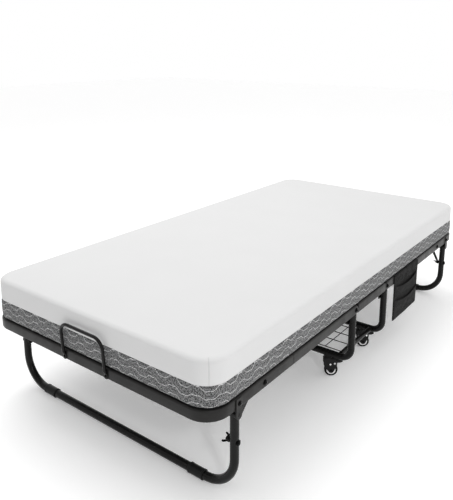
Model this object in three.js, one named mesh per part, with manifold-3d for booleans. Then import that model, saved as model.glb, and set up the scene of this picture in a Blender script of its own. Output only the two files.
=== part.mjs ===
// A folding rollaway bed: a wheeled centre section, two decks that fold up on side hinges, drop-down
// end legs with braces, wire decks, a three-section mattress and a hanging organizer.
// Millimetres, +Z up. Origin on the floor under the bed's centre. +X is the head end, -Y the near side.
import * as THREE from "three";
import { mergeVertices } from "three/addons/utils/BufferGeometryUtils.js";
import Module from "manifold-3d";

const wasm = await Module();
wasm.setup();

// ---------------------------------------------------------------- driving dimensions
const GAP = 0.3; // air between neighbours that touch on the real bed
const BED = { halfLength: 950, halfWidth: 475.4, corner: 73 };
const RAIL = { width: 25, bottom: 271.5, top: 305.5, seamX: 560 };
const TUBE = { radius: 12.7, sides: 12 };
const HINGE = { x: 137, boltRadius: 5, headRadius: 9 };
const LEG = { x: 837, pivotZ: 255, bend: 100, floorZ: 15.8, boltZ: 170, boltRadius: 3.5 };
const SLEEVE = { radius: 15.8, near: 305, far: 358, sides: 16 };
const BRACE = { x: 712, halfWidth: 8.5, outerY: 446.4, thick: 3 };
const CENTRE_LEG = { bottomZ: 92, bend: 44 };
const SHELF = { tubeY: 418, tubeRadius: 9.5, pitchX: 63, pitchY: 71.2, wire: 3.5 };
const GRID = { wire: 3.5, pitchY: 95, pitchX: 90, firstX: 865 };
const CROSSBAR = { top: 297.5, bottom: 279.5, hingeX: [161, 216], midX: [490, 520] };
const HOOP = { halfWidth: 92, rod: 5, top: 397, bend: 33, footX: 955.6, topX: 962 };
const CASTER = { y: 370, heading: -56, trail: 14, wheelRadius: 25, wheelHalf: 9, axle: 3.9 };
const MATTRESS = { bottom: 308, seam: 371, top: 447, halfLength: 948, halfWidth: 474, corner: 74 };
const MATTRESS_CENTRE_HALF = 160;
const BAG = { x: [201, 450], bottom: 117, back: 476, cloth: 2, flap: 60, pocketDepth: 12 };

const RAIL_Z = (RAIL.bottom + RAIL.top) / 2;
const RAIL_INNER = BED.halfWidth - RAIL.width;
const TUBE_Y = BED.halfWidth - TUBE.radius;
const TUBE_INNER = TUBE_Y - TUBE.radius;

// ---------------------------------------------------------------- materials
function metal(color, roughness, metalness) {
  return new THREE.MeshStandardMaterial({ color, roughness, metalness });
}
const FRAME_PAINT = metal(0x2e2d2b, 0.45, 0.6);
const RAIL_PAINT = metal(0x3d3c39, 0.45, 0.6);
const WIRE_PAINT = metal(0x1b1b1b, 0.5, 0.5);
const BOLT_STEEL = metal(0x151515, 0.35, 0.8);
const PLASTIC = metal(0x161616, 0.6, 0);
const TYRE = metal(0x1a1a1a, 0.8, 0);
const GREY_KNIT = metal(0x747476, 0.95, 0);
const WHITE_KNIT = metal(0xeaeaea, 0.95, 0);
const BLACK_CLOTH = metal(0x101010, 0.95, 0);

const bed = new THREE.Group();

// Adds one named piece. headSign and farSign of -1 mirror it to the foot end and the near side.
function place(name, geometry, material, headSign = 1, farSign = 1) {
  const mesh = new THREE.Mesh(geometry, material);
  mesh.name = name;
  mesh.scale.set(headSign, farSign, 1);
  bed.add(mesh);
  return mesh;
}

const ENDS = [["head", 1], ["foot", -1]];
const SIDES = [["far", 1], ["near", -1]];

// ---------------------------------------------------------------- joins and cuts
function toSolid(geometry) {
  const bare = geometry.index ? geometry.toNonIndexed() : geometry.clone();
  bare.deleteAttribute("normal");
  bare.deleteAttribute("uv");
  const merged = mergeVertices(bare, 1e-4);
  const vertProperties = merged.attributes.position.array;
  const triVerts = new Uint32Array(merged.index.array);
  return new wasm.Manifold(new wasm.Mesh({ numProp: 3, vertProperties, triVerts }));
}

function toGeometry(solid) {
  const mesh = solid.getMesh();
  const geometry = new THREE.BufferGeometry();
  geometry.setAttribute("position", new THREE.BufferAttribute(mesh.vertProperties, 3));
  geometry.setIndex(new THREE.BufferAttribute(mesh.triVerts, 1));
  geometry.computeVertexNormals();
  return geometry;
}

const join = (...parts) => toGeometry(parts.map(toSolid).reduce((a, b) => a.add(b)));
const cut = (body, ...tools) => toGeometry(tools.map(toSolid).reduce((a, b) => a.subtract(b), toSolid(body)));
const common = (a, b) => toGeometry(toSolid(a).intersect(toSolid(b)));

// ---------------------------------------------------------------- basic shapes
function box(x, y, z) {
  const geometry = new THREE.BoxGeometry(x[1] - x[0], y[1] - y[0], z[1] - z[0]);
  return geometry.translate((x[0] + x[1]) / 2, (y[0] + y[1]) / 2, (z[0] + z[1]) / 2);
}

// A cylinder along Y through (x, z).
function pinY(x, z, y0, y1, radius, sides = 8) {
  return new THREE.CylinderGeometry(radius, radius, y1 - y0, sides).translate(x, (y0 + y1) / 2, z);
}

// A hole along Y whose flats clear a shaft of the given radius.
function boreY(x, z, y0, y1, shaftRadius) {
  const sides = 8;
  return pinY(x, z, y0, y1, (shaftRadius + GAP) / Math.cos(Math.PI / sides), sides);
}

// A cylinder along Z through (x, y).
function pinZ(x, y, z0, z1, radius, sides = 10) {
  const geometry = new THREE.CylinderGeometry(radius, radius, z1 - z0, sides).rotateX(Math.PI / 2);
  return geometry.translate(x, y, (z0 + z1) / 2);
}

// An outline in X and Y, pulled up from z0 to z1.
function slab(shape, z0, z1, options = {}) {
  const settings = { depth: z1 - z0, bevelEnabled: false, curveSegments: 6, ...options };
  return new THREE.ExtrudeGeometry(shape, settings).translate(0, 0, z0);
}

// An outline in X and Z, pulled from y0 to y1.
function plate(shape, y0, y1) {
  const settings = { depth: y1 - y0, bevelEnabled: false, curveSegments: 5 };
  return new THREE.ExtrudeGeometry(shape, settings).rotateX(Math.PI / 2).translate(0, y1, 0);
}

// A turned piece about the Y axis through (x, z), from [radius, y] pairs in order of rising y.
function turned(profile, x, z, sides = 10) {
  const points = profile.map(([r, y]) => new THREE.Vector2(r, y));
  return new THREE.LatheGeometry(points, sides).translate(x, 0, z);
}

const ordered = (a, b) => (a < b ? [a, b] : [b, a]);

function polygon(points) {
  return new THREE.Shape(points.map(([x, y]) => new THREE.Vector2(x, y)));
}

// A flat link with round ends between two points of its plane.
function link(from, to, halfWidth) {
  const along = new THREE.Vector2().subVectors(to, from);
  const angle = along.angle();
  const shape = new THREE.Shape();
  shape.absarc(from.x, from.y, halfWidth, angle + Math.PI / 2, angle + 1.5 * Math.PI);
  shape.absarc(to.x, to.y, halfWidth, angle - Math.PI / 2, angle + Math.PI / 2);
  return shape;
}

// ---------------------------------------------------------------- bent tubes
// A path through chosen stations, so that a sweep has rings only where the tube bends.
class StationPath extends THREE.Curve {
  constructor(stations) {
    super();
    this.stations = stations;
  }

  getPoint(t) {
    const last = this.stations.length - 1;
    const at = Math.min(Math.max(t, 0), 1) * last;
    const i = Math.min(Math.floor(at), last - 1);
    return new THREE.Vector3().lerpVectors(this.stations[i].point, this.stations[i + 1].point, at - i);
  }

  getTangent(t) {
    const last = this.stations.length - 1;
    return this.stations[Math.round(t * last)].tangent.clone();
  }

  getUtoTmapping(u) {
    return u;
  }
}

// Stations along straight runs joined by round bends at the inner corners.
function bentStations(corners, bend, bendSteps) {
  const points = corners.map((c) => new THREE.Vector3(...c));
  const heading = (i) => new THREE.Vector3().subVectors(points[i + 1], points[i]).normalize();
  const stations = [{ point: points[0], tangent: heading(0) }];
  for (let i = 1; i < points.length - 1; i++) {
    const before = heading(i - 1);
    const after = heading(i);
    const turn = before.angleTo(after);
    const setback = bend * Math.tan(turn / 2);
    const start = points[i].clone().addScaledVector(before, -setback);
    const inward = after.clone().addScaledVector(before, -after.dot(before)).normalize();
    const centre = start.clone().addScaledVector(inward, bend);
    for (let k = 0; k <= bendSteps; k++) {
      const a = (turn * k) / bendSteps;
      const point = centre.clone().addScaledVector(inward, -bend * Math.cos(a));
      point.addScaledVector(before, bend * Math.sin(a));
      const tangent = before.clone().multiplyScalar(Math.cos(a)).addScaledVector(inward, Math.sin(a));
      stations.push({ point, tangent });
    }
  }
  stations.push({ point: points.at(-1), tangent: heading(points.length - 2) });
  return stations;
}

// The corners of a U across the bed, from its foot at (footX, footZ) to its crown at (crownX, crownZ).
function uCorners(footX, halfWidth, footZ, crownX, crownZ) {
  return [
    [footX, halfWidth, footZ],
    [crownX, halfWidth, crownZ],
    [crownX, -halfWidth, crownZ],
    [footX, -halfWidth, footZ],
  ];
}

function bentTube(corners, bend, radius, sides = TUBE.sides, bendSteps = 6) {
  const stations = bentStations(corners, bend, bendSteps);
  const ring = Array.from({ length: sides }, (_, i) => {
    const a = (2 * Math.PI * (i + 0.5)) / sides;
    return [radius * Math.cos(a), radius * Math.sin(a)];
  });
  const extrudePath = new StationPath(stations);
  const settings = { steps: stations.length - 1, bevelEnabled: false, extrudePath };
  return new THREE.ExtrudeGeometry(polygon(ring), settings);
}

// ---------------------------------------------------------------- centre section
function centreRail() {
  const end = HINGE.x - (RAIL.top - RAIL.bottom) / 2 - 2 * GAP;
  return box([-end, end], [RAIL_INNER, BED.halfWidth], [RAIL.bottom, RAIL.top]);
}

// Inner plate that ties the leg to the centre rail and carries the hinge bolt.
function hingePlate(side) {
  const outline = polygon([
    [HINGE.x + 15, RAIL.top - 0.5],
    [HINGE.x - 52, RAIL.top - 0.5],
    [HINGE.x - 52, RAIL.bottom + 4],
    [HINGE.x - 15, RAIL.bottom - 12],
    [HINGE.x - 15, RAIL.bottom - 40],
    [HINGE.x + 15, RAIL.bottom - 40],
  ]);
  const outer = RAIL_INNER - GAP;
  const weldY = ordered(side * (outer - 1), side * (outer + 6));
  const weld = box([HINGE.x - 8, HINGE.x + 8], weldY, [RAIL.bottom - 38, RAIL.bottom - 5]);
  const sheet = plate(outline, ...ordered(side * (outer - 4), side * outer));
  const hole = boreY(HINGE.x, RAIL_Z, ...ordered(side * (outer - 5), side * (outer + 1)), HINGE.boltRadius);
  return cut(join(sheet, weld), hole);
}

function casterSocket(farSign) {
  const y = farSign * CASTER.y;
  return pinZ(HINGE.x, y, 77.5, CENTRE_LEG.bottomZ, 14);
}

function centreLeg() {
  const top = RAIL.bottom - 1;
  const z = CENTRE_LEG.bottomZ;
  const corners = uCorners(HINGE.x, TUBE_Y, top, HINGE.x, z);
  const tube = bentTube(corners, CENTRE_LEG.bend, TUBE.radius);
  const whole = join(tube, hingePlate(1), hingePlate(-1), casterSocket(1), casterSocket(-1));
  const bores = [1, -1].map((side) => pinZ(HINGE.x, side * CASTER.y, 70, z, HINGE.boltRadius + GAP));
  return cut(whole, ...bores);
}

function hingeBolt() {
  const plateInner = RAIL_INNER - GAP - 4;
  const outer = BED.halfWidth + GAP;
  const { boltRadius, headRadius } = HINGE;
  const profile = [
    [0, plateInner - 5],
    [8, plateInner - 5],
    [8, plateInner - GAP],
    [boltRadius, plateInner - GAP],
    [boltRadius, outer],
    [headRadius, outer],
    [headRadius * 0.7, outer + 4],
    [0, outer + 5],
  ];
  return turned(profile, HINGE.x, RAIL_Z);
}

function shelfTube() {
  const end = HINGE.x - TUBE.radius - GAP;
  const z = CENTRE_LEG.bottomZ + TUBE.radius - SHELF.tubeRadius;
  const geometry = new THREE.CylinderGeometry(SHELF.tubeRadius, SHELF.tubeRadius, 2 * end, TUBE.sides);
  return geometry.rotateZ(Math.PI / 2).translate(0, SHELF.tubeY, z);
}

function shelfGrid() {
  const low = CENTRE_LEG.bottomZ + TUBE.radius + GAP;
  const w = SHELF.wire;
  const wires = [];
  for (let i = -2; i <= 2; i++) {
    const x = i * SHELF.pitchX;
    wires.push(box([x - w / 2, x + w / 2], [-SHELF.tubeY, SHELF.tubeY], [low, low + w]));
  }
  const end = HINGE.x - 4;
  for (let k = -5; k <= 5; k++) {
    const y = k * SHELF.pitchY;
    wires.push(box([-end, end], [y - w / 2, y + w / 2], [low + w - 0.5, low + 2 * w - 0.5]));
  }
  return join(...wires);
}

for (const [side, sign] of SIDES) {
  place(`centre_rail_${side}`, centreRail(), RAIL_PAINT, 1, sign);
  place(`shelf_tube_${side}`, shelfTube(), FRAME_PAINT, 1, sign);
}
for (const [end, headSign] of ENDS) {
  place(`centre_leg_${end}`, centreLeg(), FRAME_PAINT, headSign);
  for (const [side, sign] of SIDES) {
    place(`hinge_bolt_${end}_${side}`, hingeBolt(), BOLT_STEEL, headSign, sign);
  }
}
place("shelf_grid", shelfGrid(), WIRE_PAINT);

// ---------------------------------------------------------------- decks
// The plan outline of a deck frame: a U of flat-sided rail with two round corners.
function deckOutline() {
  const { halfLength, halfWidth, corner } = BED;
  const cx = halfLength - corner;
  const cy = halfWidth - corner;
  const inner = corner - RAIL.width;
  const shape = new THREE.Shape();
  shape.moveTo(HINGE.x, -halfWidth);
  shape.absarc(cx, -cy, corner, -Math.PI / 2, 0);
  shape.absarc(cx, cy, corner, 0, Math.PI / 2);
  shape.lineTo(HINGE.x, halfWidth);
  shape.lineTo(HINGE.x, RAIL_INNER);
  shape.absarc(cx, cy, inner, Math.PI / 2, 0, true);
  shape.absarc(cx, -cy, inner, 0, -Math.PI / 2, true);
  shape.lineTo(HINGE.x, -RAIL_INNER);
  return shape;
}

function deckFrame() {
  const rail = slab(deckOutline(), RAIL.bottom, RAIL.top);
  const nose = (RAIL.top - RAIL.bottom) / 2;
  const noses = [1, -1].map((side) => {
    return pinY(HINGE.x, RAIL_Z, ...ordered(RAIL_INNER * side, BED.halfWidth * side), nose, 20);
  });
  const reach = BED.halfWidth + 10;
  const through = (x, radius) => boreY(x, RAIL_Z, -reach, reach, radius);
  const seams = [1, -1].map((side) => {
    const y = ordered(side * (BED.halfWidth - 0.6), side * (BED.halfWidth + 1));
    return box([RAIL.seamX - 0.4, RAIL.seamX + 0.4], y, [RAIL.bottom - 1, RAIL.top + 1]);
  });
  const holes = [through(HINGE.x, HINGE.boltRadius), through(BRACE.x, 4), through(LEG.x - 2, 4)];
  return cut(join(rail, ...noses), ...holes, ...seams);
}

function crossbar([x0, x1]) {
  const end = RAIL_INNER - GAP;
  return box([x0, x1], [-end, end], [CROSSBAR.bottom, CROSSBAR.top]);
}

function deckGrid() {
  const w = GRID.wire;
  const low = CROSSBAR.top + GAP;
  const end = RAIL_INNER - GAP;
  const along = [CROSSBAR.hingeX[0] + 2, BED.halfLength - RAIL.width - GAP];
  const upper = [low + w - 0.5, low + 2 * w - 0.5];
  const wires = [];
  for (let k = -4; k <= 4; k++) {
    const y = k * GRID.pitchY;
    wires.push(box(along, [y - w / 2, y + w / 2], upper));
  }
  for (let i = 0; i < 8; i++) {
    const x = GRID.firstX - i * GRID.pitchX;
    wires.push(box([x - w / 2, x + w / 2], [-end, end], [low, low + w]));
  }
  return join(...wires);
}

function hoop() {
  const { halfWidth, rod, top, bend, footX, topX } = HOOP;
  const foot = RAIL.bottom + 4;
  const wire = bentTube(uCorners(footX, halfWidth, foot, topX, top), bend, rod, 8, 5);
  const face = BED.halfLength + GAP;
  const pads = [1, -1].map((s) => {
    const y = s * halfWidth;
    return box([face, face + 3.2], [y - 8, y + 8], [RAIL.bottom + 2, RAIL.top - 6]);
  });
  return join(wire, ...pads);
}

for (const [end, headSign] of ENDS) {
  place(`${end}_deck_frame`, deckFrame(), RAIL_PAINT, headSign);
  place(`${end}_hinge_crossbar`, crossbar(CROSSBAR.hingeX), FRAME_PAINT, headSign);
  place(`${end}_mid_crossbar`, crossbar(CROSSBAR.midX), FRAME_PAINT, headSign);
  place(`${end}_deck_grid`, deckGrid(), WIRE_PAINT, headSign);
  place(`${end}_mattress_hoop`, hoop(), FRAME_PAINT, headSign);
}

// ---------------------------------------------------------------- end legs, brackets and braces
// A channel under the rail whose outer cheek runs up the rail's face to its bolt.
function legBracket() {
  const { x, pivotZ } = LEG;
  const half = 13;
  const outline = (top) => {
    const shape = new THREE.Shape();
    shape.absarc(x, pivotZ, half, Math.PI, 2 * Math.PI);
    shape.lineTo(x + half, top);
    shape.lineTo(x - half, top);
    return shape;
  };
  const outerY = [BED.halfWidth + GAP, BED.halfWidth + GAP + 3];
  const innerY = [TUBE_INNER - GAP - 3, TUBE_INNER - GAP];
  const underRail = RAIL.bottom - GAP;
  const web = box([x - half, x + half], [innerY[0], outerY[1]], [underRail - 2.6, underRail]);
  const pin = pinY(x, pivotZ, innerY[0], outerY[1] + 2, 4);
  const boltProfile = [
    [0, RAIL_INNER - 3.6],
    [7, RAIL_INNER - 3.6],
    [7, RAIL_INNER - GAP],
    [4, RAIL_INNER - GAP],
    [4, outerY[1] - 1],
    [8, outerY[1] - 1],
    [6.5, outerY[1] + 3],
    [0, outerY[1] + 4],
  ];
  const bolt = turned(boltProfile, x - 2, RAIL_Z);
  const cheeks = [plate(outline(RAIL.top - 1), ...outerY), plate(outline(underRail - 1), ...innerY)];
  return join(...cheeks, web, pin, bolt);
}

function endLeg() {
  const { x, pivotZ, floorZ, bend, boltZ, boltRadius } = LEG;
  const pieces = [bentTube(uCorners(x, TUBE_Y, pivotZ, x, floorZ), bend, TUBE.radius, TUBE.sides, 7)];
  for (const side of [1, -1]) {
    const span = (a, b) => ordered(side * a, side * b);
    pieces.push(pinY(x, pivotZ, ...span(TUBE_INNER + 0.4, BED.halfWidth - 0.4), TUBE.radius - 0.2, 12));
    pieces.push(pinY(x, boltZ, ...span(TUBE_Y, BED.halfWidth + 4), 8));
    pieces.push(pinY(x, boltZ, ...span(BRACE.outerY + GAP, TUBE_Y), 7));
    pieces.push(pinY(x, boltZ, ...span(435, TUBE_Y), boltRadius));
  }
  const reach = BED.halfWidth + 5;
  return cut(join(...pieces), boreY(x, pivotZ, -reach, reach, 4));
}

function floorSleeve() {
  const { radius, near, far, sides } = SLEEVE;
  const bore = TUBE.radius + GAP;
  const profile = [[bore, near], [radius, near], [radius, far], [bore, far], [bore, near]];
  return turned(profile, LEG.x, LEG.floorZ, sides);
}

// The hook at the brace's lower end opens the way the leg bolt leaves as the leg folds.
function brace() {
  const { x, halfWidth, outerY, thick } = BRACE;
  const pivot = new THREE.Vector2(x, RAIL_Z);
  const hook = new THREE.Vector2(LEG.x, LEG.boltZ);
  const innerY = outerY - thick;
  const bar = plate(link(pivot, hook, halfWidth), innerY, outerY);
  const along = new THREE.Vector2().subVectors(hook, pivot).normalize();
  const exit = new THREE.Vector2(along.y, -along.x).addScaledVector(along, -0.44).normalize();
  const mouth = hook.clone().addScaledVector(exit, 30);
  const notch = plate(link(hook, mouth, LEG.boltRadius + 1.2), innerY - 1, outerY + 1);
  const outer = BED.halfWidth + GAP;
  const boltProfile = [
    [0, innerY - 3],
    [6.5, innerY - 3],
    [6.5, RAIL_INNER - GAP],
    [4, RAIL_INNER - GAP],
    [4, outer],
    [8, outer],
    [6.5, outer + 3.4],
    [0, outer + 4.4],
  ];
  return join(cut(bar, notch), turned(boltProfile, x, RAIL_Z));
}

function wingNut() {
  const y = BRACE.outerY - BRACE.thick - GAP;
  const bore = LEG.boltRadius + GAP;
  const hub = turned([[bore, y - 6], [6.5, y - 6], [8, y], [bore, y], [bore, y - 6]], 0, 0);
  const wing = new THREE.Shape();
  wing.moveTo(5, y - 0.5);
  wing.lineTo(5, y - 6);
  wing.lineTo(11, y - 17);
  wing.absarc(14, y - 17, 3.6, Math.PI, 2 * Math.PI);
  wing.lineTo(17.6, y - 12);
  wing.lineTo(8, y - 0.5);
  const blades = [0, Math.PI].map((turn) => slab(wing, -1.3, 1.3).rotateY(turn));
  return join(hub, ...blades).rotateY(0.6).translate(LEG.x, 0, LEG.boltZ);
}

for (const [end, headSign] of ENDS) {
  place(`${end}_leg`, endLeg(), FRAME_PAINT, headSign);
  for (const [side, sign] of SIDES) {
    place(`${end}_leg_bracket_${side}`, legBracket(), RAIL_PAINT, headSign, sign);
    place(`${end}_floor_sleeve_${side}`, floorSleeve(), PLASTIC, headSign, sign);
    place(`${end}_brace_${side}`, brace(), FRAME_PAINT, headSign, sign);
    place(`${end}_wing_nut_${side}`, wingNut(), BOLT_STEEL, headSign, sign);
  }
}

// ---------------------------------------------------------------- casters
// Each caster is made about its stem, with its pedal towards local +X.
function casterFork() {
  const { trail, wheelRadius, axle } = CASTER;
  const cheek = new THREE.Shape();
  cheek.moveTo(-11, 72);
  cheek.lineTo(-9, 56);
  cheek.absarc(trail, wheelRadius, 7.5, Math.PI, 2 * Math.PI);
  cheek.lineTo(29, 50);
  cheek.lineTo(22, 72);
  const pieces = [[-13, -10.5], [10.5, 13]].map((y) => plate(cheek, ...y));
  pieces.push(box([-11, 22], [-13, 13], [68, 72]));
  pieces.push(pinZ(0, 0, 70, 77.2, 15), pinZ(0, 0, 70, 90, HINGE.boltRadius));
  pieces.push(pinY(trail, wheelRadius, -14.5, 14.5, axle));
  return join(...pieces);
}

function casterWheel() {
  const { trail, wheelRadius: r, wheelHalf: w, axle } = CASTER;
  const bore = axle + GAP;
  const profile = [[bore, -w], [12, -w], [r - 4, -w + 1], [r, -w + 4], [r, w - 4]];
  profile.push([r - 4, w - 1], [12, w], [bore, w], [bore, -w]);
  return turned(profile, trail, r, 16);
}

function casterBrake() {
  const lever = new THREE.Shape();
  lever.absarc(20, 60, 4.5, Math.PI / 2, 1.5 * Math.PI);
  lever.lineTo(46, 57);
  lever.lineTo(52, 61);
  lever.lineTo(50, 66);
  lever.lineTo(36, 64.5);
  return plate(lever, -9.8, 9.8);
}

for (const [end, headSign] of ENDS) {
  for (const [side, sign] of SIDES) {
    const caster = new THREE.Group();
    caster.position.set(headSign * HINGE.x, sign * CASTER.y, 0);
    caster.rotation.z = THREE.MathUtils.degToRad(CASTER.heading);
    caster.add(place(`caster_fork_${end}_${side}`, casterFork(), PLASTIC));
    caster.add(place(`caster_wheel_${end}_${side}`, casterWheel(), TYRE));
    caster.add(place(`caster_brake_${end}_${side}`, casterBrake(), PLASTIC));
    bed.add(caster);
  }
}

// ---------------------------------------------------------------- mattress
function mattressOutline() {
  const { halfLength, halfWidth, corner } = MATTRESS;
  const cx = halfLength - corner;
  const cy = halfWidth - corner;
  const shape = new THREE.Shape();
  shape.absarc(cx, -cy, corner, -Math.PI / 2, 0);
  shape.absarc(cx, cy, corner, 0, Math.PI / 2);
  shape.absarc(-cx, cy, corner, Math.PI / 2, Math.PI);
  shape.absarc(-cx, -cy, corner, Math.PI, 1.5 * Math.PI);
  return shape;
}

function mattressLayer(layer) {
  const { bottom, seam, top } = MATTRESS;
  if (layer === "base") return slab(mattressOutline(), bottom, seam);
  const round = 16;
  const options = { bevelThickness: round, bevelSize: round, bevelOffset: -round, bevelSegments: 2 };
  const whole = slab(mattressOutline(), seam - 40, top - round, { bevelEnabled: true, ...options });
  return common(whole, box([-2000, 2000], [-1000, 1000], [seam + GAP, top + 1]));
}

function mattressSection(layer, x0, x1) {
  const { bottom, top } = MATTRESS;
  return common(mattressLayer(layer), box([x0, x1], [-1000, 1000], [bottom - 1, top + 2]));
}

for (const [layer, material] of [["base", GREY_KNIT], ["top", WHITE_KNIT]]) {
  const edge = MATTRESS_CENTRE_HALF;
  place(`mattress_centre_${layer}`, mattressSection(layer, -edge, edge), material);
  place(`mattress_head_${layer}`, mattressSection(layer, edge + GAP, 1000), material);
  place(`mattress_foot_${layer}`, mattressSection(layer, -1000, -edge - GAP), material);
}

// ---------------------------------------------------------------- bag on the near side of the head deck
function bagPanel() {
  const { x, bottom, back, cloth, flap } = BAG;
  const top = MATTRESS.bottom - GAP;
  const hanging = box(x, [-back - cloth, -back], [bottom, top]);
  const tucked = box(x, [-back - cloth, -back + flap], [top - 1.8, top]);
  return join(hanging, tucked);
}

function bagPocket(bottom, top) {
  const { x, back, cloth, pocketDepth } = BAG;
  const y1 = -back - cloth - GAP;
  const y0 = y1 - pocketDepth;
  const outer = box([x[0] + 4, x[1] - 4], [y0, y1], [bottom, top]);
  const inside = [x[0] + 4 + cloth, x[1] - 4 - cloth];
  const hollow = box(inside, [y0 + cloth, y1 - cloth / 2], [bottom + cloth, top + 5]);
  return cut(outer, hollow);
}

place("bag_panel", bagPanel(), BLACK_CLOTH);
place("bag_pocket_upper", bagPocket(222, 262), BLACK_CLOTH);
place("bag_pocket_lower", bagPocket(119, 204), BLACK_CLOTH);

export default bed;
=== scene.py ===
"""The looks of a folding rollaway bed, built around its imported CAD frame.

Metres, Z up, origin on the floor under the bed's centre, head end towards +X, near side towards -Y.
"""

import math

import bmesh
import bpy
from mathutils import Matrix, Vector, noise

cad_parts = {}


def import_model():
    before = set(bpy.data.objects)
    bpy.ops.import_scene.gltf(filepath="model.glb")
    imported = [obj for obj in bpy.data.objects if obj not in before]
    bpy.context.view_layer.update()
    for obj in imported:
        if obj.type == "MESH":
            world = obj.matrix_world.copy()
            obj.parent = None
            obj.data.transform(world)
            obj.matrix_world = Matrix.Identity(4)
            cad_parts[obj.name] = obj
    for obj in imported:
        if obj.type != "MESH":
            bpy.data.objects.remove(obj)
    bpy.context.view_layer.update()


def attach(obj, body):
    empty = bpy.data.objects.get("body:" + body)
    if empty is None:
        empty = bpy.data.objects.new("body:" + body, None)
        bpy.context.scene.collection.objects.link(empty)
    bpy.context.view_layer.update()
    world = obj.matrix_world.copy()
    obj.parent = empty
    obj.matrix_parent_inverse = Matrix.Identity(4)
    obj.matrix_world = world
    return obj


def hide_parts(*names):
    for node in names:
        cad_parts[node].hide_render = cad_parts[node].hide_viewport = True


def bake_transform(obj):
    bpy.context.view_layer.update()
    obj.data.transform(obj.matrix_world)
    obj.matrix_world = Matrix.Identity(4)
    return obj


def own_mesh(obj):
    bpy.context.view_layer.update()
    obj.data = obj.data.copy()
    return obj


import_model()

# -------- driving dimensions
MM = 0.001
X, Y, Z = Vector((1, 0, 0)), Vector((0, 1, 0)), Vector((0, 0, 1))
ENDS = (("head", 1), ("foot", -1))
SIDES = (("far", 1), ("near", -1))

HALF_LENGTH, HALF_WIDTH, CORNER = 0.95, 0.4754, 0.073
RAIL_WIDTH, RAIL_BOTTOM, RAIL_TOP, RAIL_ROUND = 0.025, 0.2715, 0.3055, 0.0045
RAIL_Z = (RAIL_BOTTOM + RAIL_TOP) / 2
RAIL_HALF = (RAIL_TOP - RAIL_BOTTOM) / 2
RAIL_INNER = HALF_WIDTH - RAIL_WIDTH
RAIL_Y = HALF_WIDTH - RAIL_WIDTH / 2
SEAM_X, SEAM_GAP = 0.56, 0.0024
TUBE = 0.0127
TUBE_Y = HALF_WIDTH - TUBE
LEG_INNER = TUBE_Y - TUBE
HINGE_X, LEG_X, BRACE_X = 0.137, 0.837, 0.712
LEG_PIVOT_Z, LEG_BOLT_Z, LEG_FLOOR_Z, LEG_BEND = 0.255, 0.17, 0.0158, 0.1
BRACKET_HALF, BRACKET_PLATE = 0.013, 0.003
BRACE_FACES, BRACE_HALF, BRACE_SLOT = (0.4434, 0.4464), 0.0085, 0.0047
CENTRE_Z, CENTRE_BEND = 0.092, 0.044
SHELF_Y, SHELF_TUBE = 0.418, 0.0095
WIRE, WIRE_SINK, BAR_HALF = 0.00175, 0.0005, 0.009
CLEAR, BOLT_FACE = 0.0003, HALF_WIDTH + 0.0002
MATTRESS_SEAM, FOAM_TOP, CROWN = 0.371, 0.447, 0.0032
FOAM_X, FOAM_Y, FOAM_CORNER = 0.948, 0.474, 0.074
CORNER_X, CORNER_Y = FOAM_X - FOAM_CORNER, FOAM_Y - FOAM_CORNER
FOLD_CELL, FOLD_CELLS, FOLD_CELLS_END = 0.011, 20, 0.22
COVER_SPLIT_X, FOLD_RANGE = 0.19, 0.07
CASTER_Y, CASTER_HEADING, TRAIL, WHEEL = 0.37, math.radians(-56), 0.014, 0.025
BAG_X, BAG_BOTTOM, BAG_TOP, BAG_BACK, BAG_FLAP = (0.201, 0.45), 0.117, 0.3068, -0.4772, 0.06
BAG_WIDTH, BAG_DROP = BAG_X[1] - BAG_X[0], BAG_TOP - BAG_BOTTOM


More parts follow.
